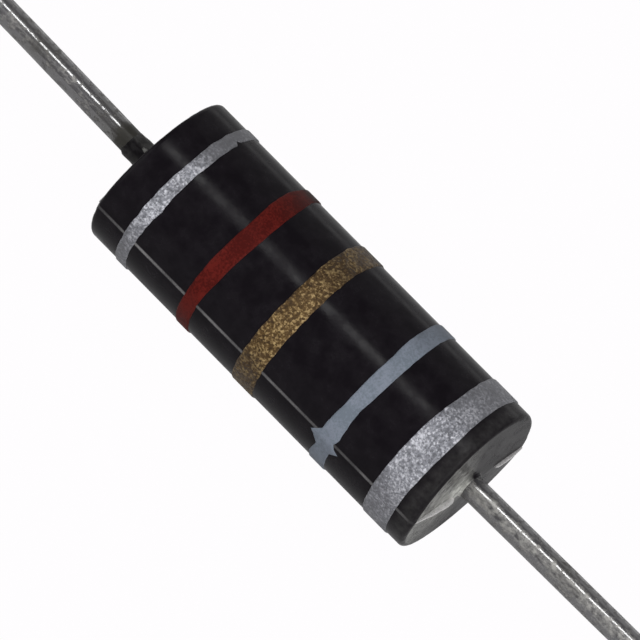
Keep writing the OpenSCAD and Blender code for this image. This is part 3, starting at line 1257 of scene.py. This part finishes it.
@dataclass
class Stage:
    """The pale floor, the studio light and the camera."""

    lamps: Sequence[Lamp]
    floor_z: float = -1.976
    floor_r: float = 3000.0
    seen_glow: float = 0.99
    mirrored_glow: float = 0.15
    world_grey: float = 0.12
    view: tuple[float, float, float] = (0.1959, -0.6574, 0.7276)
    roll_right: tuple[float, float] = (0.7029, 0.7113)
    aim: tuple[float, float] = (0.1919, 0.1023)
    distance: float = 230.0
    frame_mm: float = 13.643
    sensor: float = 36.0
    paper: float = 0.55
    glow: tuple[float, float, float, float] = (1.0, 0.988, 1.0, 1.0)

    def floor(self) -> None:
        """Lays the floor: nearly white to the camera, dimmer in reflections, and hardly shadowed."""
        bm = bmesh.new()
        bmesh.ops.create_circle(bm, cap_ends=True, segments=96, radius=self.floor_r)
        bmesh.ops.translate(bm, vec=(0, 0, self.floor_z), verts=bm.verts)
        obj = piece(bm, "floor", sharp_angle=30)
        material = bpy.data.materials.new("white_paper")
        material.use_nodes = True
        tree = material.node_tree
        tree.nodes.clear()
        path = add_node(tree, "ShaderNodeLightPath")
        mirrored = add_node(
            tree,
            "ShaderNodeMath",
            links={0: path.outputs["Is Glossy Ray"], 1: path.outputs["Is Transmission Ray"]},
            operation="MAXIMUM",
        ).outputs[0]
        in_metal = add_node(
            tree, "ShaderNodeMath", {1: self.mirrored_glow}, {0: mirrored}, operation="MULTIPLY"
        ).outputs[0]
        share = add_node(
            tree,
            "ShaderNodeMath",
            {1: self.seen_glow},
            {0: path.outputs["Is Camera Ray"], 2: in_metal},
            operation="MULTIPLY_ADD",
        ).outputs[0]
        paper = add_node(
            tree, "ShaderNodeBsdfDiffuse", {"Color": (self.paper, self.paper, self.paper, 1.0)}
        ).outputs[0]
        glow = add_node(tree, "ShaderNodeEmission", {"Color": self.glow, "Strength": 1.0}).outputs[0]
        mixed = add_node(tree, "ShaderNodeMixShader", links={0: share, 1: paper, 2: glow}).outputs[0]
        add_node(tree, "ShaderNodeOutputMaterial", links={"Surface": mixed})
        obj.data.materials.append(material)

    def world(self) -> None:
        """Fills the room with a dim even light."""
        world = bpy.data.worlds.new("room")
        world.use_nodes = True
        tree = world.node_tree
        tree.nodes.clear()
        grey = self.world_grey
        room = add_node(tree, "ShaderNodeBackground", {"Color": (grey, grey, grey, 1.0), "Strength": 1.0})
        add_node(tree, "ShaderNodeOutputWorld", links={"Surface": room.outputs[0]})
        bpy.context.scene.world = world

    def camera(self) -> None:
        """Sets the camera at the photograph's angle."""
        back = Vector(self.view).normalized()
        along = (Vector((1, 0, 0)) - back * back.x).normalized()
        across = back.cross(along)
        right = along * self.roll_right[0] + across * self.roll_right[1]
        up = back.cross(right)
        target = right * self.aim[0] + up * self.aim[1]
        data = bpy.data.cameras.new("camera")
        data.sensor_width = self.sensor
        data.lens = self.sensor * self.distance / self.frame_mm
        data.clip_start = 0.01
        data.clip_end = 100.0
        obj = bpy.data.objects.new("camera", data)
        place = Matrix((right, up, back)).transposed().to_4x4()
        place.translation = (target + back * self.distance) * MM
        obj.matrix_world = place
        bpy.context.scene.collection.objects.link(obj)
        bpy.context.scene.camera = obj

    def build(self) -> None:
        """Builds the stage."""
        self.floor()
        self.world()
        for lamp in self.lamps:
            lamp.build()
        self.camera()
        bpy.context.scene.view_settings.view_transform = "Standard"


def main() -> None:
    """Builds every piece in order, then the stage."""
    anchor = LeadAnchor()
    MouldedBody(MouldedEpoxy(), anchor).build()

    # The paints' brightest flake colours are painted glints
    silver = FlakePaint("silver_flake_paint", "silver_paint")
    gold = FlakePaint(
        "gold_flake_paint",
        "gold_paint",
        dark="#402f19",
        middle="#68502f",
        bright="#bda271",
        under_and_shade="#2f2620",
        flake_mm=0.045,
        cluster_mm=0.065,
        tilt=0.4,
    )
    red = PigmentPaint("red_paint", "red_paint")
    grey = PigmentPaint(
        "grey_paint", "grey_paint", pigment="#868d9a", deep="#757e89", under_and_shade="#3a3c40", gloss=0.4
    )
    # Each band's coverage marks are partly thin paint and partly painted shade, darkest towards both sides
    # of the view
    bands = (
        PaintBand(
            "wide_silver_band",
            "paint_wide_silver",
            silver,
            left_edge=((62, 0.0), (92, 0.035), (108, 0.01), (124, -0.015), (200, 0.0)),
            right_edge=(
                (62, -0.07), (80, -0.075), (108, -0.05), (124, -0.025), (140, -0.035), (164, -0.06),
                (300, -0.07),
            ),
            cover_and_shade=(
                (50, 0.3), (62, 0.3), (82, 0.25), (102, 0.5), (120, 1.0), (160, 0.9), (177, 0.4),
                (225, 0.25), (245, 1.0),
            ),
            seed=1.0,
        ),
        PaintBand(
            "grey_band",
            "paint_grey",
            grey,
            left_edge=(
                (62, -0.07), (76, -0.05), (100, -0.03), (108, 0.01), (148, 0.02), (164, -0.02),
                (176.5, -0.045), (183.9, -0.26), (185.2, -0.18), (190.6, 0.01), (206, -0.08), (222, -0.1),
                (300, -0.07),
            ),
            right_edge=(
                (62, -0.11), (84, -0.08), (116, -0.04), (132, -0.05), (148, -0.09), (160, -0.08),
                (173.7, -0.04), (180, -0.1), (183.5, -0.03), (185.2, 0.11), (189.9, -0.08), (214, -0.11),
                (300, -0.11),
            ),
            cover_and_shade=(
                (50, 0.7), (68, 0.72), (84, 0.75), (102, 1.0), (181, 1.0), (183, 0.78), (225, 0.7),
                (245, 1.0),
            ),
            seed=2.0,
        ),
        PaintBand(
            "gold_band",
            "paint_gold",
            gold,
            left_edge=(
                (62, -0.065), (92, -0.07), (108, -0.04), (132, -0.012), (190, -0.025), (220, -0.05),
                (300, -0.065),
            ),
            right_edge=(
                (62, -0.05), (92, -0.075), (108, -0.045), (132, -0.02), (200, -0.015), (300, -0.05),
            ),
            cover_and_shade=(
                (50, 0.35), (62, 0.38), (84, 0.45), (94, 0.5), (104, 0.68), (120, 0.9), (140, 1.0),
                (160, 1.0), (172, 0.8), (178, 0.5), (200, 0.42), (225, 0.4), (245, 1.0),
            ),
            wave=0.02,
            seed=3.0,
        ),
        PaintBand(
            "red_band",
            "paint_red",
            red,
            left_edge=(
                (62, 0.03), (76, -0.02), (92, -0.01), (108, 0.03), (116, 0.04), (132, 0.03), (148, 0.015),
                (300, 0.03),
            ),
            right_edge=(
                (62, -0.04), (76, 0.01), (100, 0.04), (124, 0.04), (140, 0.0), (156, -0.02), (172, -0.08),
                (300, -0.04),
            ),
            cover_and_shade=(
                (40, 0.2), (56, 0.2), (66, 0.6), (90, 0.8), (102, 0.95), (116, 1.0), (168, 1.0),
                (178, 0.85), (225, 0.7), (245, 1.0),
            ),
            seed=4.0,
        ),
        PaintBand(
            "narrow_silver_band",
            "paint_narrow_silver",
            silver,
            left_edge=((62, 0.1), (92, 0.085), (116, 0.1), (135, 0.075), (200, 0.065), (300, 0.1)),
            right_edge=(
                (60, 0.02), (74, 0.0), (76, -0.09), (79, 0.02), (108, 0.035), (116, 0.01), (146, 0.02),
                (149, 0.045), (156, 0.02), (164, -0.01), (200, -0.025), (300, 0.02),
            ),
            cover_and_shade=(
                (50, 0.2), (62, 0.12), (82, 0.08), (102, 0.2), (116, 0.8), (130, 0.8), (145, 1.0),
                (160, 0.95), (182, 0.3), (225, 0.25), (245, 1.0),
            ),
            wave=0.018,
            seed=5.0,
        ),
    )
    for band in bands:
        band.build()

    tin = TinnedCopper()
    tinned = tin.make()
    # The smudge marks are partly residue and partly a painted reflection
    Lead(
        End.LEFT,
        tin,
        anchor,
        tinned,
        smudge_and_reflection_reach=((0.0, 0.0), (1.2, 0.0), (4.0, 0.3)),
        stain_reach=((0.62, 1.8), (0.8, 1.5), (0.95, 0.85), (1.1, 0.5), (1.3, 0.4), (1.8, 0.0)),
    ).build()
    Lead(End.RIGHT, tin, anchor, tinned, smudge_and_reflection_reach=((0.0, 1.0), (0.4, 1.0), (0.9, 0.7))).build()

    WoundCore(
        core=SpeckledSolid("pressed_iron_powder", "powdered_iron"),
        winding=SpeckledSolid(
            "enamelled_copper_wire",
            "enamelled_copper",
            first="#a8552e",
            second="#8c4424",
            metallic=0.9,
            roughness=0.3,
        ),
        solder=SpeckledSolid(
            "tin_lead_solder", "solder", first="#a9abac", second="#8e9091", metallic=1.0, roughness=0.35
        ),
    ).build()

    Stage(
        lamps=(
            Lamp("key", (-0.196, -0.216, 0.957), 0.4, (0.07, 0.07), 7.7),
            Lamp("soft_top", (0.5, -0.2, 0.84), 0.5, (0.3, 0.3), 1.3),
            Lamp("soft_right", (0.75, -0.555, 0.36), 0.5, (0.5, 0.5), 1.7),
            Lamp("soft_left", (-0.75, -0.555, 0.36), 0.5, (0.5, 0.5), 1.3),
            Lamp("back_panel", (-0.196, 0.85, 0.49), 0.6, (1.0, 0.6), 0.27),
            Lamp("back_strip", (-0.196, 0.975, 0.1), 0.6, (1.0, 0.1), 0.6),
        ),
    ).build()

    log.info("sizes written")


if __name__ == "__main__":
    logging.basicConfig(level=logging.INFO)
    main()
